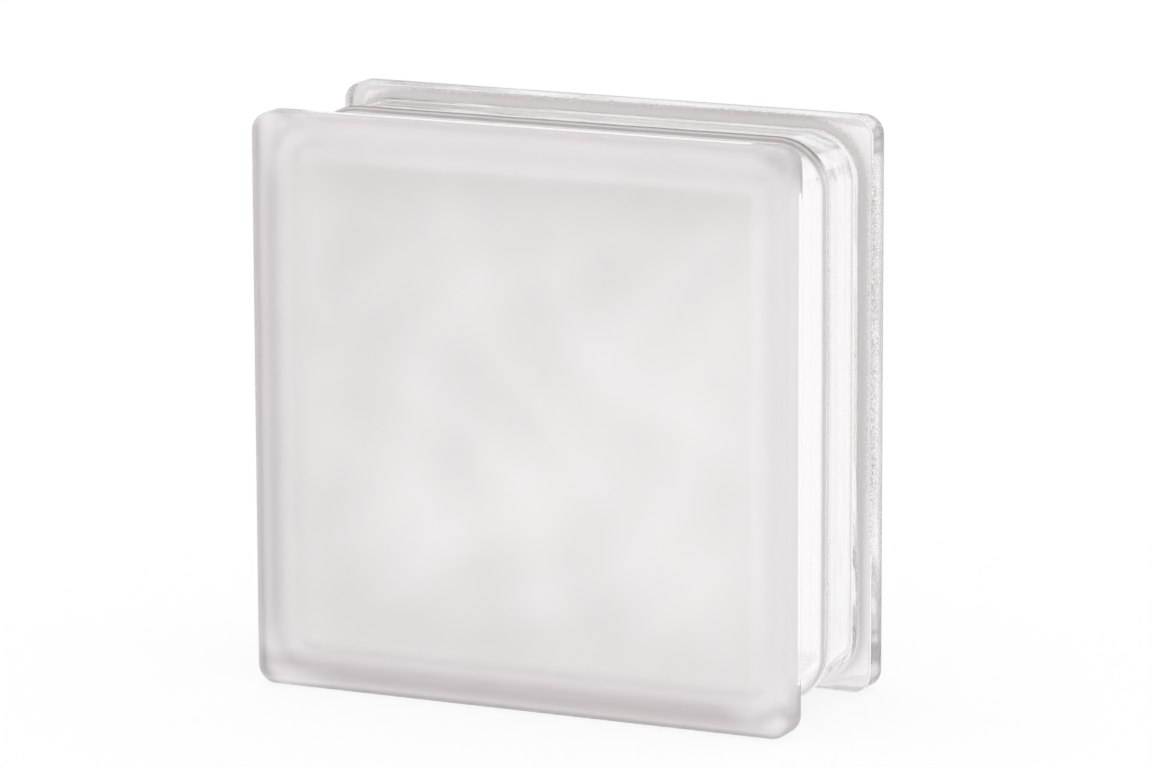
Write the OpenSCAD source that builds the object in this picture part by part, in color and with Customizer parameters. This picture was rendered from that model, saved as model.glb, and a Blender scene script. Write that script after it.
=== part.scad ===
// Hollow glass block for walls: two pressed halves fused into one sealed piece.
// Sizes in millimetres, +Z up. The block stands upright on the rims of its two lips.
// The origin is at the middle of its foot, and the satin face looks towards -Y.

/* [Block] */
// Width across a face
width = 190; // [160:1:240]
// Height of a face
height = 190; // [160:1:240]
// Depth from face to face
depth = 80; // [76:1:100]

/* [Lips] */
// Width of the flat rim around each face, measured back from the face
rim_width = 11.5; // [10:0.5:13]
// Corner radius of the lips
lip_corner_radius = 6.5; // [5:0.5:9]
// Radius of the round edge between face and rim
face_edge_radius = 3; // [2:0.5:4]

/* [Mortar channel] */
// Depth of the channel below the rim, beside the lips
channel_depth = 4; // [3:0.1:6]
// Extra depth of the channel at the seam, left by the draft of the two moulds
channel_draft = 0.3; // [0.1:0.1:1.2]
// How far the inner side of a lip leans from its edge to its foot
lip_lean = 1.5; // [1:0.1:3]
// Height of the square land at the back edge of a rim, above the leaning side
edge_land = 0.5; // [0.3:0.1:1]
// Reach of the hollow fillet at the foot of a lip
foot_fillet = 2.4; // [1.5:0.1:3]
// Corner radius of the waist, at the foot of the lips
waist_corner_radius = 16; // [13:0.5:22]

/* [Seam] */
// Width of the bead where the two halves were fused
bead_width = 6; // [4:0.5:8]
// Height of the bead above the floor of the channel
bead_height = 1.6; // [0.5:0.1:2]

/* [Hollow] */
// Thickness of a face plate, to the middle level of its waves
face_thickness = 9.5; // [8:0.5:12]
// Thickness of the side wall at the seam
wall_thickness = 6; // [5:0.5:8]
// How far each side of the hollow leans in from the seam to its rounded edge
hollow_draft = 0.5; // [0.3:0.1:2]
// Radius of the rounded edge around the hollow, inside each face
hollow_edge_radius = 4.5; // [3:0.5:9]

/* [Waves inside the faces] */
// Height of the waves, from hollow to crest
wave_height = 2.6; // [1:0.1:3.2]
// Length of the waves across the face
wave_length_across = 47; // [36:1:80]
// Length of the waves up the face
wave_length_up = 58; // [40:1:90]
// How far the lines of crests sway aside
wave_sway = 11; // [0:1:14]
// Length of one sway
sway_length = 104; // [80:1:160]
// Width of the plain border in which the waves fade out
wave_border = 16; // [8:1:30]

/* [Hidden] */
half_w = width / 2;
half_h = height / 2;
half_d = depth / 2;
rim_back = half_d - rim_width;
// The waist is a plain core with one section carried around its four sides.
core_w = width - 2 * (channel_depth + waist_corner_radius);
core_h = height - 2 * (channel_depth + waist_corner_radius);
floor_at_lip = waist_corner_radius;
floor_at_seam = waist_corner_radius - channel_draft;
lip_top = waist_corner_radius + channel_depth - edge_land;
foot = [floor_at_lip, rim_back - lip_lean];
// The waist reaches this far into the lips, so that the three are one body.
lip_overlap = rim_width - face_edge_radius - 2;
// The bead is a shallow round of this radius.
bead_radius = (pow(bead_width / 2, 2) + pow(bead_height, 2)) / (2 * bead_height);
// The lips have a core of their own, smaller than the face by their corner radius.
lip_core_w = width - 2 * lip_corner_radius;
lip_core_h = height - 2 * lip_corner_radius;
// The hollow: a wavy panel inside each face, with a rounded edge and leaning sides.
hollow_in = channel_depth + channel_draft + wall_thickness;
panel_x = half_w - hollow_in - hollow_draft - hollow_edge_radius;
panel_z = half_h - hollow_in - hollow_draft - hollow_edge_radius;
panel_y = half_d - face_thickness;
panel_cells = 26;
corner_steps = 5;
edge_steps = 5;
fillet_steps = 4;
ring_side = panel_cells + corner_steps;
ring_size = 4 * ring_side;
panel_row = panel_cells + 1;
panel_size = panel_row * panel_row;
panel_corners = [[-panel_x, -panel_z], [panel_x, -panel_z], [panel_x, panel_z], [-panel_x, panel_z]];
ring_count = 2 * edge_steps + 1;
$fn = 64;

// Smooth curve from a to c that turns at b.
function bend(a, b, c) = [
    for (i = [0 : fillet_steps])
        let (t = i / fillet_steps) (1 - t) * (1 - t) * a + 2 * t * (1 - t) * b + t * t * c
];

function toward(a, b, distance) = a + (b - a) * distance / norm(b - a);

// Outline of the channel from the seam up to the edge of the rear lip.
function channel_side() = let (
    seam = [floor_at_seam, 0],
    edge = [lip_top, rim_back]
) concat([seam], bend(toward(foot, seam, foot_fillet), foot, toward(foot, edge, foot_fillet)), [edge]);

function other_side(points) = [for (i = [len(points) - 1 : -1 : 0]) [points[i].x, -points[i].y]];

// The waist's section: distance out from the core, and depth.
module waist_section() {
    end = rim_back + lip_overlap;
    rear = concat(channel_side(), [[lip_top, end], [0, end]]);
    polygon(concat(other_side(rear), rear));
    translate([floor_at_seam + bead_height - bead_radius, 0])
        circle(bead_radius);
}

// The rear lip's section: rim and face with a round edge between them.
module lip_section() {
    translate([0, rim_back])
        square([lip_corner_radius, rim_width - face_edge_radius]);
    translate([0, rim_back])
        square([lip_corner_radius - face_edge_radius, rim_width]);
    translate([lip_corner_radius - face_edge_radius, half_d - face_edge_radius])
        circle(face_edge_radius);
}

// Carries a section around the four sides and the four corners of a core.
module carry_around(core_x, core_z) {
    for (side = [0, 1]) {
        mirror([side, 0, 0])
            translate([core_x / 2, 0, -core_z / 2])
                linear_extrude(core_z)
                    children();
        mirror([0, 0, side])
            translate([core_x / 2, 0, core_z / 2])
                rotate([0, -90, 0])
                    linear_extrude(core_x)
                        children();
        for (end = [0, 1])
            mirror([side, 0, 0])
                mirror([0, 0, end])
                    translate([core_x / 2, 0, core_z / 2])
                        rotate([90, 0, 0])
                            rotate_extrude(angle = 90)
                                mirror([0, 1])
                                    children();
    }
}

module lip() {
    translate([-lip_core_w / 2, rim_back, -lip_core_h / 2])
        cube([lip_core_w, rim_width, lip_core_h]);
    carry_around(lip_core_w, lip_core_h)
        lip_section();
}

module waist() {
    reach = rim_back + lip_overlap;
    translate([-core_w / 2, -reach, -core_h / 2])
        cube([core_w, 2 * reach, core_h]);
    carry_around(core_w, core_h)
        waist_section();
}

// Waves of one pressed half. They fade out in the border of its panel.
function rise(u) = let (t = min(1, max(0, u))) t * t * (3 - 2 * t);
function fade(x, z) = rise((panel_x - abs(x)) / wave_border) * rise((panel_z - abs(z)) / wave_border);
function wave(x, z) = wave_height / 2 * fade(x, z)
    * sin(360 * (x + wave_sway * sin(360 * z / sway_length)) / wave_length_across)
    * cos(360 * (z + wave_sway * sin(360 * x / sway_length)) / wave_length_up);

// Both halves come from one mould, so the rear one is the front one turned around.
function panel(turn) = [
    for (j = [0 : panel_cells]) for (i = [0 : panel_cells])
        let (x = panel_x * (2 * i / panel_cells - 1), z = panel_z * (2 * j / panel_cells - 1))
            [x, turn * (panel_y + wave(-turn * x, z)), z]
];

// One loop around the hollow, this far outside the panel's border.
function ring(out, y) = [
    for (side = [0 : 3])
        let (a = panel_corners[side], b = panel_corners[(side + 1) % 4], angle = 90 * (side - 1))
            each concat(
                [for (i = [0 : panel_cells])
                    let (p = a + (b - a) * i / panel_cells)
                        [p.x + out * cos(angle), y, p.y + out * sin(angle)]],
                [for (k = [1 : corner_steps - 1])
                    let (turn = angle + 90 * k / corner_steps)
                        [b.x + out * cos(turn), y, b.y + out * sin(turn)]]
            )
];

function edge_ring(step, turn) = let (angle = 90 * step / edge_steps)
    ring(hollow_edge_radius * sin(angle), turn * (panel_y - hollow_edge_radius * (1 - cos(angle))));

function panel_index(side, i, first) = first + (
    side == 0 ? i
    : side == 1 ? i * panel_row + panel_cells
    : side == 2 ? panel_cells * panel_row + panel_cells - i
    : (panel_cells - i) * panel_row
);

function ring_index(loop, k) = 2 * panel_size + loop * ring_size + k % ring_size;

// The sealed hollow between the two halves.
module hollow() {
    points = concat(
        panel(-1),
        panel(1),
        [for (step = [1 : edge_steps]) each edge_ring(step, -1)],
        ring(hollow_edge_radius + hollow_draft, 0),
        [for (step = [edge_steps : -1 : 1]) each edge_ring(step, 1)]
    );
    front_faces = [
        for (j = [0 : panel_cells - 1]) for (i = [0 : panel_cells - 1])
            let (p = j * panel_row + i)
                each [[p, p + panel_row, p + panel_row + 1], [p, p + panel_row + 1, p + 1]]
    ];
    rear_faces = [for (f = front_faces) [f[0] + panel_size, f[2] + panel_size, f[1] + panel_size]];
    front_border = [
        for (side = [0 : 3]) each concat(
            [for (i = [0 : panel_cells - 1])
                let (a = panel_index(side, i, 0), b = panel_index(side, i + 1, 0), k = side * ring_side + i)
                    each [[a, b, ring_index(0, k + 1)], [a, ring_index(0, k + 1), ring_index(0, k)]]],
            [for (i = [0 : corner_steps - 1])
                let (k = side * ring_side + panel_cells + i)
                    [panel_index(side, panel_cells, 0), ring_index(0, k + 1), ring_index(0, k)]]
        )
    ];
    rear_border = [
        for (side = [0 : 3]) each concat(
            [for (i = [0 : panel_cells - 1])
                let (
                    a = panel_index(side, i, panel_size),
                    b = panel_index(side, i + 1, panel_size),
                    k = side * ring_side + i,
                    p = ring_index(ring_count - 1, k),
                    q = ring_index(ring_count - 1, k + 1)
                )
                    each [[p, q, b], [p, b, a]]],
            [for (i = [0 : corner_steps - 1])
                let (k = side * ring_side + panel_cells + i)
                    [ring_index(ring_count - 1, k), ring_index(ring_count - 1, k + 1),
                     panel_index(side, panel_cells, panel_size)]]
        )
    ];
    side_faces = [
        for (loop = [0 : ring_count - 2]) for (k = [0 : ring_size - 1])
            let (
                a = ring_index(loop, k),
                b = ring_index(loop, k + 1),
                c = ring_index(loop + 1, k + 1),
                d = ring_index(loop + 1, k)
            )
                each [[a, b, c], [a, c, d]]
    ];
    polyhedron(points, concat(front_faces, rear_faces, front_border, rear_border, side_faces));
}

module glass_block() {
    color([0.86, 0.90, 0.90, 0.6])
        translate([0, 0, half_h])
            difference() {
                union() {
                    waist();
                    lip();
                    mirror([0, 1, 0])
                        lip();
                }
                hollow();
            }
}

glass_block();
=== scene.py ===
"""Looks for a hollow glass block: clear pressed glass with cloudy waves inside, satin on its front face.

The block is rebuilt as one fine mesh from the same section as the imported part: an outer skin carried
around the four sides, and the sealed hollow inside it. Lengths are in millimetres until they reach
a mesh, a material or the floor, which are in metres.
"""
import math

import bpy
import numpy as np
from mathutils import Matrix, Vector

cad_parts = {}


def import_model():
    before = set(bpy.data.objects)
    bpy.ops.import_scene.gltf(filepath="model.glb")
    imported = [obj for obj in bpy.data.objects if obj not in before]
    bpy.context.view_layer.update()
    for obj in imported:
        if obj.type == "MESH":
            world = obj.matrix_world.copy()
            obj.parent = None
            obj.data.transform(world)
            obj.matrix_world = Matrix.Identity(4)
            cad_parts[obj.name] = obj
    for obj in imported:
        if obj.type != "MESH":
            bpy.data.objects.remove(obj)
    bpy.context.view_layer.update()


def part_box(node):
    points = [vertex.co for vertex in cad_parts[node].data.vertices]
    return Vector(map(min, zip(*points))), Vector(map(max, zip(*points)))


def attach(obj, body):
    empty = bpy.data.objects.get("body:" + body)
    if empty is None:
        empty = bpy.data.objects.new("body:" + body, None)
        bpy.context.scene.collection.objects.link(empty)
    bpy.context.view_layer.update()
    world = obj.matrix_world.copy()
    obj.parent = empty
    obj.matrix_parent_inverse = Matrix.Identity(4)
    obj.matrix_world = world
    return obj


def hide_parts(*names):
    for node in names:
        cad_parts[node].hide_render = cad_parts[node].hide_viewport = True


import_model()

# The block's section
MM = 0.001
low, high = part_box("glass_block")
HALF_W = (high.x - low.x) / 2 / MM
HALF_D = (high.y - low.y) / 2 / MM
HALF_H = (high.z - low.z) / 2 / MM

RIM_WIDTH = 11.5
LIP_CORNER = 6.5
FACE_EDGE = 3.0
BACK_EDGE = 0.45            # rounding of the rim's back edge
CHANNEL_DEPTH = 4.0
CHANNEL_DRAFT = 0.3
LIP_LEAN = 1.5
EDGE_LAND = 0.5
FOOT_FILLET = 2.4
WAIST_CORNER = 16.0
BEAD_WIDTH = 6.0
BEAD_HEIGHT = 1.6
FACE_THICKNESS = 9.5
WALL_THICKNESS = 6.0
HOLLOW_DRAFT = 0.5
HOLLOW_EDGE = 4.5
INNER_BEAD_WIDTH = 4.0      # the seam shows inside as a low ridge
INNER_BEAD_HEIGHT = 0.05
WAVE_HEIGHT = 2.6
WAVE_ACROSS = 47.0
WAVE_UP = 58.0
WAVE_SWAY = 11.0
SWAY_LENGTH = 104.0
WAVE_BORDER = 16.0
SATIN_REACH = 8.4           # how far the satin runs back over the front rim

RIM_BACK = HALF_D - RIM_WIDTH
RIM_END = HALF_D - FACE_EDGE
FOOT = RIM_BACK - LIP_LEAN
HOLLOW_INSET = CHANNEL_DEPTH + CHANNEL_DRAFT + WALL_THICKNESS
PANEL_X = HALF_W - HOLLOW_INSET - HOLLOW_DRAFT - HOLLOW_EDGE
PANEL_Z = HALF_H - HOLLOW_INSET - HOLLOW_DRAFT - HOLLOW_EDGE
PANEL_Y = HALF_D - FACE_THICKNESS
PANEL_CORNER = 1.2

# The seam wanders a little: seeds of its lines, how far they go, and how fast they die out beside it
WANDER_CYCLES = (5, 8, 13, 21, 34)
WANDER_SHARES = (0.4, 1.0)
SEAM_RISE_SEED, SEAM_RISE = 4, 0.12
SEAM_DRIFT_SEED, SEAM_DRIFT = 9, 0.45
SEAM_FALL_OFF = 2.5
RIDGE_DRIFT_SEED, RIDGE_DRIFT = 21, 0.4
RIDGE_FALL_OFF = 2.0

# Fineness of the mesh
SIDE_STEPS = 104            # steps along one side of a loop, corners included
ARC_STEPS = 8               # steps in half a corner
FACE_EDGE_STEPS = 8
BACK_EDGE_STEPS = 5
LIP_STEPS = 3
FOOT_STEPS = 8
CHANNEL_STEPS = 7
BEAD_STEPS = 6
HOLLOW_EDGE_STEPS = 12
WALL_STEPS = 6
RIDGE_STEPS = 5
RING_GAP = 1.5              # between a rounded edge or the satin's end and the next ring
NEAR_RING_GAP = 1.0
BEAD_RING_GAP = 0.4

# Clouds on the front panel: x, z from its middle, reach, and how much duller (+) or lighter (-) they are
CLOUDS = (
    (-52, 62, 15, 0.4), (61, 72, 15, 0.4), (-63, 22, 14, 0.3), (-19, -58, 13, 0.3), (-50, -68, 14, 0.25),
    (52, 12, 20, -0.45), (2, -25, 16, -0.45), (-37, -40, 13, -0.3), (56, -44, 14, -0.3), (20, 40, 16, 0.15),
    (-40, 76, 16, 0.3), (-5, 72, 18, 0.45), (30, 74, 17, 0.4), (0, 5, 20, 0.15),
)
PLAIN_CLOUD = 0.5           # where there are no waves

# Grey film, which is painted shade on a rough coat, and speckle (grit) across the section, as (millimetres,
# share), from the middle of the seam
SEAM_SHADE_FILM = (
    (-3.3, 0.0), (-3.0, 0.3), (-2.6, 0.65), (-1.9, 0.6), (-1.5, 0.0),
    (-0.1, 0.0), (0.4, 0.35), (2.6, 0.35), (3.0, 0.2), (3.3, 0.0),
)
# Along the top the seam carries darker painted shade
SEAM_TOP_SHADE_FILM = (
    (-3.3, 0.0), (-2.9, 0.7), (-2.5, 1.0), (-2.1, 0.85), (-1.7, 0.5),
    (-1.3, 0.75), (-0.8, 1.0), (2.6, 1.0), (3.3, 0.0),
)
# The same from the foot of a lip
FRONT_LIP_SHADE_FILM = ((-14.0, 0.0), (-7.0, 0.3), (-FOOT_FILLET, 0.6), (-0.6, 0.75), (0.4, 0.6), (LIP_LEAN, 0.35))
REAR_LIP_SHADE_FILM = ((-FOOT_FILLET, 0.0), (-0.6, 0.5), (0.0, 0.78), (0.5, 0.72), (0.9, 0.58), (LIP_LEAN, 0.38))
REAR_LIP_GRIT = ((-FOOT_FILLET, 0.0), (-0.8, 1.3), (0.5, 1.1), (LIP_LEAN, 0.45))
# The same from the end of the rim, where the face's round edge starts
REAR_RIM_SHADE_FILM = ((-4.0, 0.08), (-1.5, 0.45), (0.0, 0.5), (FACE_EDGE, 0.3))
# The same from the back edge of the rim
REAR_RIM_GRIT = ((0.0, 0.75), (2.5, 0.6), (RIM_WIDTH - 1.0, 0.35))

# Zones around the block, as distances from its edges and the lengths over which they fade
UPPER_ZONE, UPPER_FADE = 14.0, 6.0
CORNER_ZONE, CORNER_FADE = 26.0, 14.0
LOW_ZONE, LOW_FADE = 15.0, 70.0
SHADE_START, SHADE_FADE = 0.15, 0.3     # shares of the way from corner to corner
FULL_CORNER = 0.9           # the satin covers the whole front rim from here
# How film and grit change in them: the film's painted shade and the grit differ between the sides painted as
# lit and as shaded
LIT_FRONT_SHADE_FILM = 0.15       # what is left of the front lip's film on the lit sides
LOW_GRIT = 0.3              # what is left of the grit low down
CORNER_SHADE_FILM_LOSS = 0.5
CORNER_GRIT_LOSS = 0.4
SHADED_SIDE_SHADE_FILM_LOSS = 0.6
SHADED_GRIT_LOSS = 0.5
TOP_FRONT_SHADE_FILM_GAIN = 0.1
TOP_LIP_SHADE_FILM_LOSS = 0.1
TOP_LIP_GRIT_GAIN = 0.3
TOP_RIM_GRIT_LOSS = 0.3

# Which material a face has
CLEAR, SATIN, EDGE, INNER = 0, 1, 2, 3


def loop(half_w, half_h, radius):
    """Points (x, z) of a rounded rectangle, from the middle of its lower left corner, anticlockwise."""
    corner_x, corner_z = half_w - radius, half_h - radius
    centres = [(-corner_x, -corner_z), (corner_x, -corner_z), (corner_x, corner_z), (-corner_x, corner_z)]
    half_turn = math.radians(45)
    out = []
    for side in range(4):
        (ax, az), (bx, bz) = centres[side], centres[(side + 1) % 4]
        normal = math.radians(90 * side - 90)
        for i in range(SIDE_STEPS):
            if i <= ARC_STEPS:
                turn, x, z = normal - half_turn * (1 - i / ARC_STEPS), ax, az
            elif i >= SIDE_STEPS - ARC_STEPS:
                turn, x, z = normal + half_turn * (1 - (SIDE_STEPS - i) / ARC_STEPS), bx, bz
            else:
                t = (i - ARC_STEPS) / (SIDE_STEPS - 2 * ARC_STEPS)
                turn, x, z = normal, ax + (bx - ax) * t, az + (bz - az) * t
            out.append((x + radius * math.cos(turn), z + radius * math.sin(turn)))
    return np.array(out)


def smooth(t):
    t = np.clip(t, 0, 1)
    return t * t * (3 - 2 * t)


def bend(a, b, c, steps):
    """Points of a smooth curve from a to c that turns at b."""
    a, b, c = (np.array(p, float) for p in (a, b, c))
    return [tuple((1 - t) ** 2 * a + 2 * t * (1 - t) * b + t * t * c) for t in np.linspace(0, 1, steps + 1)]


def towards(a, b, distance):
    a, b = np.array(a, float), np.array(b, float)
    return tuple(a + (b - a) * distance / np.linalg.norm(b - a))


def straight(a, b, steps):
    """Points between a and b, without the two ends."""
    a, b = np.array(a, float), np.array(b, float)
    return [tuple(a + (b - a) * t) for t in np.linspace(0, 1, steps + 1)[1:-1]]


def quarter(steps):
    return np.radians(np.linspace(0, 90, steps + 1))


def both_halves(half):
    """A whole section from its rear half, which ends at the seam. The last number of a ring is its y."""
    return [(*ring[:-1], -ring[-1]) for ring in half] + half[-2::-1]


def half_section():
    """The outer skin's section from the rear face to the seam: (inset from the rim, corner radius, y)."""
    rings = [(FACE_EDGE + RING_GAP, LIP_CORNER - FACE_EDGE - RING_GAP, HALF_D)]
    for turn in quarter(FACE_EDGE_STEPS):
        inset = FACE_EDGE * (1 - math.sin(turn))
        rings.append((inset, LIP_CORNER - inset, HALF_D - FACE_EDGE * (1 - math.cos(turn))))
    satin_back = HALF_D - SATIN_REACH
    for y in (RIM_END - RING_GAP, satin_back + RING_GAP, satin_back, satin_back - NEAR_RING_GAP):
        rings.append((0.0, LIP_CORNER, y))
    for turn in quarter(BACK_EDGE_STEPS):
        inset = BACK_EDGE * (1 - math.cos(turn))
        rings.append((inset, LIP_CORNER - inset, RIM_BACK + BACK_EDGE * (1 - math.sin(turn))))
    reach = WAIST_CORNER + CHANNEL_DEPTH            # from the waist's core out to the rim
    seam = (WAIST_CORNER - CHANNEL_DRAFT, 0.0)
    foot = (WAIST_CORNER, FOOT)
    edge = (reach - EDGE_LAND, RIM_BACK)
    foot_in, foot_out = towards(foot, seam, FOOT_FILLET), towards(foot, edge, FOOT_FILLET)
    bead_radius = ((BEAD_WIDTH / 2) ** 2 + BEAD_HEIGHT ** 2) / (2 * BEAD_HEIGHT)
    bead_centre = seam[0] + BEAD_HEIGHT - bead_radius
    bead_half = math.asin(BEAD_WIDTH / 2 / bead_radius)
    bead = [
        (bead_centre + bead_radius * math.cos(a), bead_radius * math.sin(a))
        for a in np.linspace(bead_half, 0, BEAD_STEPS + 1)
    ]
    beside_bead = towards(bead[0], foot_in, BEAD_RING_GAP)
    side = [edge, *straight(edge, foot_out, LIP_STEPS), *bend(foot_out, foot, foot_in, FOOT_STEPS)]
    side += [*straight(foot_in, beside_bead, CHANNEL_STEPS), beside_bead, *bead]
    return rings + [(reach - r, r, y) for r, y in side]


def wander(seed):
    """A smooth irregular line once around the block that closes on itself."""
    t = np.arange(4 * SIDE_STEPS) / (4 * SIDE_STEPS)
    rng = np.random.default_rng(seed)
    total = np.zeros_like(t)
    for cycles in WANDER_CYCLES:
        share = rng.uniform(*WANDER_SHARES)
        total += share * np.sin(2 * np.pi * (cycles * t + rng.uniform())) / math.sqrt(cycles)
    return total


def near_seam(y, width, fall_off):
    return math.exp(-((y / width) ** 2) * fall_off)


def waves(x, z):
    """Waves of one pressed half, fading out at the border of its panel."""
    fade = smooth((PANEL_X - np.abs(x)) / WAVE_BORDER) * smooth((PANEL_Z - np.abs(z)) / WAVE_BORDER)
    across = np.sin(2 * np.pi * (x + WAVE_SWAY * np.sin(2 * np.pi * z / SWAY_LENGTH)) / WAVE_ACROSS)
    up = np.cos(2 * np.pi * (z + WAVE_SWAY * np.sin(2 * np.pi * x / SWAY_LENGTH)) / WAVE_UP)
    return WAVE_HEIGHT / 2 * fade * across * up


class Skin:
    """Collects points and faces of one mesh, with the film (painted shade), grit and clouds (thick) at each
    point.
    """

    def __init__(self):
        self.points, self.faces, self.kinds, self.count = [], [], [], 0
        self.film, self.grit, self.thick = [], [], []

    def add(self, x, y, z, film=0.0, grit=0.0, thick=0.0):
        points = np.column_stack([x, y, z])
        self.points.append(points)
        self.film.append(np.full(len(points), film))
        self.grit.append(np.full(len(points), grit))
        self.thick.append(np.full(len(points), thick))
        first = self.count
        self.count += len(points)
        return np.arange(first, self.count)

    def face(self, indices, kind):
        self.faces.append(tuple(int(i) for i in indices))
        self.kinds.append(kind)

    def strip(self, a, b, kinds, inward=False):
        """Quads between two loops, the second one further to the rear."""
        for k in range(len(a)):
            n = (k + 1) % len(a)
            quad = (a[k], b[k], b[n], a[n])
            self.face(quad[::-1] if inward else quad, kinds[k])


def share_at(place, stations):
    return float(np.interp(place, *zip(*stations)))


def film_share(inset, y):
    """How much grey film, which is painted shade, lies on a ring of the outer skin: the seam and the lips.
    """
    if abs(y) < BEAD_WIDTH:
        return share_at(y, SEAM_SHADE_FILM)
    if inset < BACK_EDGE:
        return 0.0 if y < 0 else share_at(y - RIM_END, REAR_RIM_SHADE_FILM)
    return share_at(-y - FOOT, FRONT_LIP_SHADE_FILM) if y < 0 else share_at(y - FOOT, REAR_LIP_SHADE_FILM)


def grit_share(inset, y):
    """How densely a ring of the rear lip is speckled: thinly on its rim, closed at its foot."""
    return share_at(y - RIM_BACK, REAR_RIM_GRIT) if inset < BACK_EDGE else share_at(y - FOOT, REAR_LIP_GRIT)


def corner_share(xz):
    """1 in the four corners of the block, 0 along its sides."""
    near_x = smooth((np.abs(xz[:, 0]) - (HALF_W - CORNER_ZONE)) / CORNER_FADE)
    near_z = smooth((np.abs(xz[:, 1]) - (HALF_H - CORNER_ZONE)) / CORNER_FADE)
    return near_x * near_z


def shaded_share(xz):
    """1 along the left and lower sides of the block, painted as shaded, 0 along its right and upper ones,
    painted as lit.
    """
    return smooth((SHADE_START - (xz[:, 0] / HALF_W + xz[:, 1] / HALF_H) / 2) / SHADE_FADE)


def shade_film_and_grit(inset, y, xz):
    """Film and grit on one ring of the outer skin, with their changes around the block: more painted shade
    on the upper seam and on the front lip's shaded sides, less film and grit on the rear's shaded sides.
    """
    film = film_share(inset, y)
    upper = smooth((xz[:, 1] - (HALF_H - UPPER_ZONE)) / UPPER_FADE)
    shaded = shaded_share(xz)
    corner = corner_share(xz)
    if abs(y) < BEAD_WIDTH:
        return film * (1 - upper) + share_at(y, SEAM_TOP_SHADE_FILM) * upper, 0.0
    if y < 0:
        film = film * (1 + TOP_FRONT_SHADE_FILM_GAIN * upper) * (1 - CORNER_SHADE_FILM_LOSS * corner)
        return film * (LIT_FRONT_SHADE_FILM + (1 - LIT_FRONT_SHADE_FILM) * shaded), 0.0
    shaded = shaded * (1 - upper)
    height = smooth((xz[:, 1] + HALF_H - LOW_ZONE) / LOW_FADE)
    film = film * (1 - SHADED_SIDE_SHADE_FILM_LOSS * shaded)
    grit = grit_share(inset, y) * (1 - CORNER_GRIT_LOSS * corner) * (1 - SHADED_GRIT_LOSS * shaded)
    grit = grit * (LOW_GRIT + (1 - LOW_GRIT) * height)
    if inset < BACK_EDGE:
        return film, grit * (1 - TOP_RIM_GRIT_LOSS * upper)
    return film * (1 - TOP_LIP_SHADE_FILM_LOSS * upper), grit * (1 + TOP_LIP_GRIT_GAIN * upper)


def outer_skin(skin):
    rise, drift = wander(SEAM_RISE_SEED), wander(SEAM_DRIFT_SEED)
    loops = []
    for inset, radius, y in both_halves(half_section()):
        xz = loop(HALF_W - inset, HALF_H - inset, radius)
        near = near_seam(y, BEAD_WIDTH, SEAM_FALL_OFF)
        outward = xz / np.linalg.norm(xz, axis=1)[:, None]
        xz = xz + outward * (SEAM_RISE * near * rise)[:, None]
        film, grit = shade_film_and_grit(inset, y, xz)
        ring = skin.add(xz[:, 0], y + SEAM_DRIFT * near * drift, xz[:, 1], film, grit)
        loops.append((inset, y, ring))
    corner = corner_share(loop(HALF_W, HALF_H, LIP_CORNER)) > FULL_CORNER
    satin_back = -(HALF_D - SATIN_REACH)
    skin.face(loops[0][2], SATIN)
    for (_, _, a), (inset, y, b) in zip(loops, loops[1:]):
        on_front_rim = y < 0 and inset < BACK_EDGE / 2
        satin = (y <= satin_back) | (corner & on_front_rim)
        skin.strip(a, b, np.where(satin, SATIN, EDGE))
    skin.face(loops[-1][2][::-1], CLEAR)


def cloud_share(x, z, relief):
    """How dull the front panel looks: its waves, and the larger clouds seen in the photo."""
    share = PLAIN_CLOUD * (1 - relief / WAVE_HEIGHT)
    for cloud_x, cloud_z, reach, amount in CLOUDS:
        share = share + amount * np.exp(-((x - cloud_x) ** 2 + (z - cloud_z) ** 2) / (2 * reach ** 2))
    return np.clip(share, 0, 1)


def panel(skin, border, turn):
    """The wavy panel inside one face. turn is -1 at the front and 1 at the rear."""
    n = SIDE_STEPS
    ids = np.zeros((n + 1, n + 1), int)
    for i in range(n):
        ids[i, 0] = border[i]
        ids[n, i] = border[n + i]
        ids[n - i, n] = border[2 * n + i]
        ids[0, n - i] = border[3 * n + i]
    edge = loop(PANEL_X, PANEL_Z, PANEL_CORNER)
    grid = np.meshgrid(edge[1:n, 0], edge[n + 1:2 * n, 1], indexing="ij")
    xs, zs = (axis.ravel() for axis in grid)
    relief = waves(-turn * xs, zs)
    thick = cloud_share(xs, zs, relief) if turn < 0 else 0.0
    inside = skin.add(xs, turn * (PANEL_Y + relief), zs, thick=thick)
    ids[1:n, 1:n] = inside.reshape(n - 1, n - 1)
    for i in range(n):
        for j in range(n):
            quad = (ids[i, j], ids[i, j + 1], ids[i + 1, j + 1], ids[i + 1, j])
            skin.face(quad if turn < 0 else quad[::-1], CLEAR)


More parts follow.
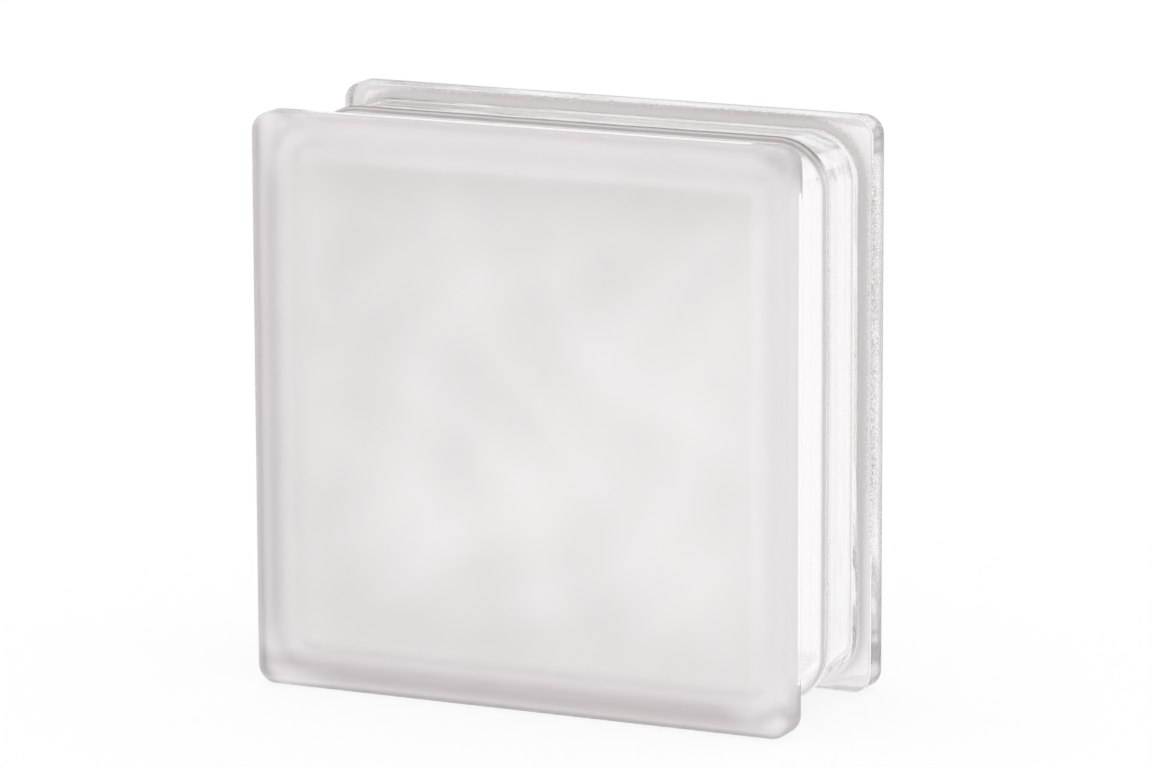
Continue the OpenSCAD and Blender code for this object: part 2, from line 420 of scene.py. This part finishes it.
def hollow_skin(skin):
    """The sealed hollow: its skin looks inwards, because the glass is outside it."""
    half = []
    for a in quarter(HOLLOW_EDGE_STEPS):
        half.append((HOLLOW_EDGE * math.sin(a), PANEL_Y - HOLLOW_EDGE * (1 - math.cos(a))))
    top, bottom = half[-1], (HOLLOW_EDGE + HOLLOW_DRAFT, 0.0)
    ridge_foot = towards(bottom, top, INNER_BEAD_WIDTH / 2)
    half += straight(top, ridge_foot, WALL_STEPS) + [ridge_foot]
    for t in np.linspace(0, 1, RIDGE_STEPS + 1)[1:]:
        lift = INNER_BEAD_HEIGHT * (1 - math.cos(math.pi * t)) / 2
        half.append((ridge_foot[0] + (bottom[0] - ridge_foot[0]) * t - lift, ridge_foot[1] * (1 - t)))
    drift = wander(RIDGE_DRIFT_SEED)
    loops = []
    for out, y in both_halves(half):
        xz = loop(PANEL_X + out, PANEL_Z + out, PANEL_CORNER + out)
        ys = y + RIDGE_DRIFT * near_seam(y, INNER_BEAD_WIDTH, RIDGE_FALL_OFF) * drift
        loops.append(skin.add(xz[:, 0], ys, xz[:, 1], thick=PLAIN_CLOUD if y < 0 else 0.0))
    for a, b in zip(loops, loops[1:]):
        skin.strip(a, b, [INNER] * len(a), inward=True)
    panel(skin, loops[0], -1)
    panel(skin, loops[-1], 1)


# Materials: tints are pairs of colours, between which a noise or a share chooses
GLASS_IOR = 1.5
WHOLE_RANGE = (0.0, 1.0)
NOISE_RANGE = (0.3, 0.7)                # the part of a noise that is used
NARROW_NOISE_RANGE = (0.35, 0.65)
CLEAR_NOISE_RANGE = (0.35, 0.7)
FINE_DETAIL = 3.0
GRAIN_HARSHNESS = 0.6
CLEAR_TINTS = ((1.0, 0.985, 0.99), (0.67, 0.685, 0.67))
CLEAR_ROUGHNESS = (0.0, 0.04)
INNER_TINTS = ((0.99, 0.988, 0.985), (0.998, 0.993, 0.993))
INNER_ROUGHNESS = (0.03, 0.06)
SHADE_AND_SPECK_TINTS = ((0.995, 0.993, 0.99), (0.235, 0.18, 0.18))
COAT_ROUGHNESS = (0.1, 0.6)
GRAIN_SWING = (-0.35, 0.35)
GRIT_PATCHES = (0.85, 1.0)
SPECK_START, SPECK_FULL, SPECK_SHARE = 0.4, 0.7, 0.74
WORN_FULL, WORN_SHARE = 0.3, 0.2        # grit roughens the glass between its specks too
SATIN_TRANSMISSION = 0.78
SATIN_ROUGHNESS = (0.54, 0.58)
SATIN_BUMP, SATIN_BUMP_DEPTH = 0.12, 0.0001
FACE_TINTS = ((0.935, 0.93, 0.918), (1.0, 0.962, 0.968))
BORDER_TINTS = ((0.925, 0.878, 0.892), (0.955, 0.90, 0.913))
# Painted shade and painted light on the satin
SHADE_TINTS = ((0.62, 0.565, 0.58), (0.64, 0.58, 0.595))
LIGHT_TINTS = ((0.97, 0.96, 0.96), (0.99, 0.98, 0.98))
# Scales of the noises, per metre
CLEAR_NOISE = 120.0
INNER_NOISE = 30.0
GRAIN_NOISE = 1900.0
PATCH_NOISE = 14.0
SATIN_CLOUD_NOISE = 40.0
SATIN_ROUGH_NOISE = 300.0
SATIN_GRAIN_NOISE = 2600.0
FLOOR_NOISE = 3.0

# Border, painted shade and painted light lines of the satin, as (millimetres, share), along x from the
# middle or the left
BORDER_ACROSS = ((HALF_W - 16.0, 0.0), (HALF_W - 4.0, 1.0))
LEFT_SHADE = ((3.0, 0.1), (10.0, 0.4), (10.0, 0.4), (17.0, 0.0))
LEFT_LIGHT = ((0.5, 0.6), (3.0, 0.0))
RIGHT_LIGHT = ((HALF_W - 10.0, 0.0), (HALF_W - 2.0, 0.6))
LOW_SHADE_ACROSS = ((HALF_W - 24.0, 1.0), (HALF_W - 6.0, 0.2))
# The same along z, from the middle or the foot
BORDER_UP = ((HALF_H - 16.0, 0.0), (HALF_H - 4.0, 1.0))
LOW_SHADE = ((3.0, 0.1), (8.0, 1.0), (9.0, 1.0), (14.5, 0.0))
TOP_SHADE = ((2 * HALF_H - 30.0, 0.0), (2 * HALF_H - 18.0, 0.23))
# The painted shadow line at the foot, and the painted highlight just above it
FOOT_SHADOW_LINE = ((1.3, 0.7), (2.0, 0.0))
FOOT_LIGHT = ((1.8, 0.0), (2.3, 1.0), (2.8, 1.0), (3.8, 0.0))
# The same along y, back from the face
SHADE_BACK = ((-HALF_D, 1.0), (-HALF_D + 2.5, 0.2))


class Graph:
    """Adds shader nodes to one material or world and returns their outputs."""

    def __init__(self, tree):
        self.nodes, self.links = tree.nodes, tree.links

    def feed(self, socket, value):
        """Links another node's output to a socket, or sets the socket to a plain value."""
        if isinstance(value, bpy.types.NodeSocket):
            self.links.new(value, socket)
        else:
            socket.default_value = value

    def place(self, kind="Object"):
        return self.nodes.new("ShaderNodeTexCoord").outputs[kind]

    def split(self, place):
        node = self.nodes.new("ShaderNodeSeparateXYZ")
        self.links.new(place, node.inputs[0])
        return node.outputs["X"], node.outputs["Y"], node.outputs["Z"]

    def length(self, place):
        node = self.nodes.new("ShaderNodeVectorMath")
        node.operation = "LENGTH"
        self.links.new(place, node.inputs[0])
        return node.outputs["Value"]

    def attribute(self, name):
        node = self.nodes.new("ShaderNodeAttribute")
        node.attribute_name = name
        return node.outputs["Fac"]

    def rays(self):
        return self.nodes.new("ShaderNodeLightPath").outputs

    def noise(self, place, scale, detail=2.0, rough=0.5):
        node = self.nodes.new("ShaderNodeTexNoise")
        node.inputs["Scale"].default_value = scale
        node.inputs["Detail"].default_value = detail
        node.inputs["Roughness"].default_value = rough
        self.links.new(place, node.inputs["Vector"])
        return node.outputs["Fac"]

    def ranged(self, value, low_in, high_in, low_out, high_out):
        node = self.nodes.new("ShaderNodeMapRange")
        node.inputs["From Min"].default_value = low_in
        node.inputs["From Max"].default_value = high_in
        node.inputs["To Min"].default_value = low_out
        node.inputs["To Max"].default_value = high_out
        self.links.new(value, node.inputs["Value"])
        return node.outputs["Result"]

    def zone(self, value, start, end):
        """Goes from one share to another over a length. start and end are (millimetres, share)."""
        return self.ranged(value, start[0] * MM, end[0] * MM, start[1], end[1])

    def hump(self, value, start, full, fade, end):
        """Rises from start to full and falls from fade to end."""
        return self.math("MINIMUM", self.zone(value, start, full), self.zone(value, fade, end))

    def math(self, operation, first, second):
        node = self.nodes.new("ShaderNodeMath")
        node.operation = operation
        self.feed(node.inputs[0], first)
        self.feed(node.inputs[1], second)
        return node.outputs[0]

    def times(self, first, second):
        return self.math("MULTIPLY", first, second)

    def most(self, first, *others):
        for other in others:
            first = self.math("MAXIMUM", first, other)
        return first

    def tinted(self, value, tints, spread=NOISE_RANGE):
        node = self.nodes.new("ShaderNodeValToRGB")
        for element, colour, position in zip(node.color_ramp.elements, tints, spread):
            element.color = (*colour, 1)
            element.position = position
        self.links.new(value, node.inputs["Fac"])
        return node.outputs["Color"]

    def mixed(self, share, first, second):
        """Mixes two colours. A Mix node has its colours in sockets 6 and 7, and the result in output 2."""
        node = self.nodes.new("ShaderNodeMix")
        node.data_type = "RGBA"
        self.links.new(share, node.inputs["Factor"])
        self.feed(node.inputs[6], first)
        self.feed(node.inputs[7], second)
        return node.outputs[2]

    def bumped(self, height, strength, distance):
        node = self.nodes.new("ShaderNodeBump")
        node.inputs["Strength"].default_value = strength
        node.inputs["Distance"].default_value = distance
        self.links.new(height, node.inputs["Height"])
        return node.outputs["Normal"]


def new_material(name):
    material = bpy.data.materials.new(name)
    material.use_nodes = True
    return material, Graph(material.node_tree), material.node_tree.nodes["Principled BSDF"].inputs


def new_glass(name, transmission=1.0):
    material, graph, shader = new_material(name)
    shader["Transmission Weight"].default_value = transmission
    shader["IOR"].default_value = GLASS_IOR
    return material, graph, shader


def clear_glass():
    material, graph, shader = new_glass("clear_glass")
    rough = graph.noise(graph.place(), CLEAR_NOISE)
    graph.feed(shader["Base Color"], graph.tinted(graph.attribute("thick"), CLEAR_TINTS, WHOLE_RANGE))
    graph.feed(shader["Roughness"], graph.ranged(rough, *CLEAR_NOISE_RANGE, *CLEAR_ROUGHNESS))
    return material


def inner_glass():
    """The hollow's side walls and rounded edges, which scatter a little."""
    material, graph, shader = new_glass("inner_glass")
    cloud = graph.noise(graph.place(), INNER_NOISE)
    graph.feed(shader["Base Color"], graph.tinted(cloud, INNER_TINTS))
    graph.feed(shader["Roughness"], graph.ranged(cloud, *NOISE_RANGE, *INNER_ROUGHNESS))
    return material


def edge_glass():
    """The rims' backs and the channel: clear, with a scattering, speckled film on the lips and the seam,
    whose grey is painted shade.
    """
    material, graph, shader = new_glass("edge_glass")
    place = graph.place()
    film, grit = graph.attribute("film"), graph.attribute("grit")
    grain = graph.noise(place, GRAIN_NOISE, rough=GRAIN_HARSHNESS)
    grain = graph.ranged(grain, *NOISE_RANGE, *GRAIN_SWING)
    patch = graph.ranged(graph.noise(place, PATCH_NOISE), *NARROW_NOISE_RANGE, *GRIT_PATCHES)
    grains = graph.math("ADD", graph.times(grit, patch), grain)
    speck = graph.ranged(grains, SPECK_START, SPECK_FULL, 0.0, SPECK_SHARE)
    shade_and_speck = graph.most(film, speck)
    worn = graph.most(shade_and_speck, graph.ranged(grit, 0.0, WORN_FULL, 0.0, WORN_SHARE))
    graph.feed(shader["Base Color"], graph.tinted(shade_and_speck, SHADE_AND_SPECK_TINTS, WHOLE_RANGE))
    graph.feed(shader["Roughness"], graph.ranged(worn, *WHOLE_RANGE, *COAT_ROUGHNESS))
    return material


def satin_glass():
    """The etched front: a tinted face and border, with painted shade along three sides, a painted shadow
    line at its foot, and painted light along the edges and just above the foot.
    """
    material, graph, shader = new_glass("satin_glass", SATIN_TRANSMISSION)
    place = graph.place()
    x, y, z = graph.split(place)
    from_middle_x = graph.math("ABSOLUTE", x, 0.0)
    from_middle_z = graph.math("ABSOLUTE", graph.math("SUBTRACT", z, HALF_H * MM), 0.0)
    from_left = graph.math("ADD", x, HALF_W * MM)
    cloud = graph.noise(place, SATIN_CLOUD_NOISE, detail=FINE_DETAIL)
    border = graph.most(graph.zone(from_middle_x, *BORDER_ACROSS), graph.zone(from_middle_z, *BORDER_UP))
    low_shade = graph.times(graph.hump(z, *LOW_SHADE), graph.zone(x, *LOW_SHADE_ACROSS))
    sides = graph.most(graph.hump(from_left, *LEFT_SHADE), low_shade, graph.zone(z, *TOP_SHADE))
    shade = graph.most(graph.times(sides, graph.zone(y, *SHADE_BACK)), graph.zone(z, *FOOT_SHADOW_LINE))
    edges = graph.most(graph.zone(x, *RIGHT_LIGHT), graph.zone(from_left, *LEFT_LIGHT))
    light = graph.most(graph.hump(z, *FOOT_LIGHT), edges)
    face = graph.tinted(cloud, FACE_TINTS, NARROW_NOISE_RANGE)
    plain = graph.mixed(border, face, graph.tinted(cloud, BORDER_TINTS))
    shaded = graph.mixed(shade, plain, graph.tinted(cloud, SHADE_TINTS))
    graph.feed(shader["Base Color"], graph.mixed(light, shaded, graph.tinted(cloud, LIGHT_TINTS)))
    rough = graph.noise(place, SATIN_ROUGH_NOISE)
    graph.feed(shader["Roughness"], graph.ranged(rough, *NOISE_RANGE, *SATIN_ROUGHNESS))
    grain = graph.noise(place, SATIN_GRAIN_NOISE, detail=FINE_DETAIL)
    graph.feed(shader["Normal"], graph.bumped(grain, SATIN_BUMP, SATIN_BUMP_DEPTH))
    return material


# The block
SHARP_ANGLE = math.radians(40)

skin = Skin()
outer_skin(skin)
hollow_skin(skin)
points = np.concatenate(skin.points)
points[:, 2] += HALF_H
mesh = bpy.data.meshes.new("glass_block_look")
mesh.from_pydata((points * MM).tolist(), [], skin.faces)
for make in (clear_glass, satin_glass, edge_glass, inner_glass):
    mesh.materials.append(make())
mesh.polygons.foreach_set("material_index", skin.kinds)
for name, values in (("film", skin.film), ("grit", skin.grit), ("thick", skin.thick)):
    mesh.attributes.new(name, "FLOAT", "POINT").data.foreach_set("value", np.concatenate(values))
mesh.polygons.foreach_set("use_smooth", [True] * len(mesh.polygons))
mesh.set_sharp_from_angle(angle=SHARP_ANGLE)
mesh.validate()
block = bpy.data.objects.new("glass_block_look", mesh)
bpy.context.scene.collection.objects.link(block)
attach(block, "root")
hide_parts("glass_block")

# Floor and light
FLOOR_REACH = 4.0           # metres from the middle to each side
FLOOR_DROP = 0.0003         # metres below the block's foot
FLOOR_ROUGHNESS = 0.9
FLOOR_TINTS = ((0.90, 0.89, 0.89), (0.91, 0.90, 0.90))
CAMERA_FLOOR = 0.85         # how much of the floor the camera sees as plain white
GLASS_FLOOR = ((90.0, 0.95), (180.0, 1.0))      # seen through glass: (millimetres out, share)
WORLD_LEFT = (0.36, 0.30, 0.33)
WORLD_RIGHT = (0.95, 0.88, 0.91)
WORLD_SPREAD = (0.1, 0.9)
OVERHEAD = 1.25
OVERHEAD_SPREAD = (0.12, 0.65)      # how steeply up the light from above starts and is full
WHITE = (1, 1, 1, 1)


def floor():
    material, graph, shader = new_material("pale_floor")
    place = graph.place()
    graph.feed(shader["Base Color"], graph.tinted(graph.noise(place, FLOOR_NOISE), FLOOR_TINTS))
    shader["Roughness"].default_value = FLOOR_ROUGHNESS
    shader["Specular IOR Level"].default_value = 0.0
    rays = graph.rays()
    through_glass = graph.most(rays["Is Glossy Ray"], rays["Is Transmission Ray"])
    through_glass = graph.times(through_glass, graph.zone(graph.length(place), *GLASS_FLOOR))
    direct = graph.times(rays["Is Camera Ray"], CAMERA_FLOOR)
    mix = graph.nodes.new("ShaderNodeMixShader")
    graph.feed(mix.inputs["Fac"], graph.most(through_glass, direct))
    graph.feed(mix.inputs[1], graph.nodes["Principled BSDF"].outputs[0])
    graph.feed(mix.inputs[2], graph.nodes.new("ShaderNodeEmission").outputs[0])
    graph.feed(graph.nodes["Material Output"].inputs["Surface"], mix.outputs[0])
    corners = [(sx * FLOOR_REACH, sy * FLOOR_REACH, 0) for sx, sy in ((-1, -1), (1, -1), (1, 1), (-1, 1))]
    sheet = bpy.data.meshes.new("floor")
    sheet.from_pydata(corners, [], [(0, 1, 2, 3)])
    sheet.materials.append(material)
    ground = bpy.data.objects.new("floor", sheet)
    ground.location.z = -FLOOR_DROP
    bpy.context.scene.collection.objects.link(ground)


def world():
    """Soft light, brighter from the right and from above. Camera and glass see plain white all around."""
    sky = bpy.data.worlds.new("studio")
    sky.use_nodes = True
    graph = Graph(sky.node_tree)
    x, _, z = graph.split(graph.place("Generated"))
    walls = graph.tinted(graph.ranged(x, -1.0, 1.0, *WHOLE_RANGE), (WORLD_LEFT, WORLD_RIGHT), WORLD_SPREAD)
    upward = graph.ranged(z, *OVERHEAD_SPREAD, *WHOLE_RANGE)
    light = graph.mixed(upward, walls, (OVERHEAD, OVERHEAD, OVERHEAD, 1))
    rays = graph.rays()
    seen = graph.most(rays["Is Camera Ray"], rays["Is Glossy Ray"], rays["Is Transmission Ray"])
    back = graph.nodes["Background"]
    graph.feed(back.inputs["Color"], graph.mixed(seen, light, WHITE))
    back.inputs["Strength"].default_value = 1.0
    bpy.context.scene.world = sky


# Camera: angles in degrees, lengths in millimetres
CAMERA_AZIMUTH = 25.15
CAMERA_ELEVATION = 11.67
CAMERA_ROLL = -0.21
CAMERA_DISTANCE = 2240.0
CAMERA_TARGET = (2.8, 0.0, 100.95)
PHOTO_WIDTH_PX = 1152
FOCAL_PX = 6895.0
SENSOR_MM = 36.0
CLIP_END = 50.0             # metres


def camera():
    az, el = math.radians(CAMERA_AZIMUTH), math.radians(CAMERA_ELEVATION)
    back = Vector((math.sin(az) * math.cos(el), -math.cos(az) * math.cos(el), math.sin(el)))
    right = Vector((math.cos(az), math.sin(az), 0.0))
    up = back.cross(right)
    roll = math.radians(CAMERA_ROLL)
    right, up = right * math.cos(roll) + up * math.sin(roll), up * math.cos(roll) - right * math.sin(roll)
    data = bpy.data.cameras.new("photo_camera")
    data.sensor_width = SENSOR_MM
    data.lens = FOCAL_PX / PHOTO_WIDTH_PX * SENSOR_MM
    data.clip_end = CLIP_END
    cam = bpy.data.objects.new("photo_camera", data)
    place = Matrix((right, up, back)).transposed().to_4x4()
    place.translation = (Vector(CAMERA_TARGET) + back * CAMERA_DISTANCE) * MM
    cam.matrix_world = place
    bpy.context.scene.collection.objects.link(cam)
    bpy.context.scene.camera = cam


floor()
world()
camera()
LIGHT_BOUNCES = 64          # light crosses many faces of the glass
settings = bpy.context.scene
settings.view_settings.view_transform = "Standard"
settings.cycles.max_bounces = LIGHT_BOUNCES
settings.cycles.transmission_bounces = LIGHT_BOUNCES
settings.cycles.glossy_bounces = LIGHT_BOUNCES
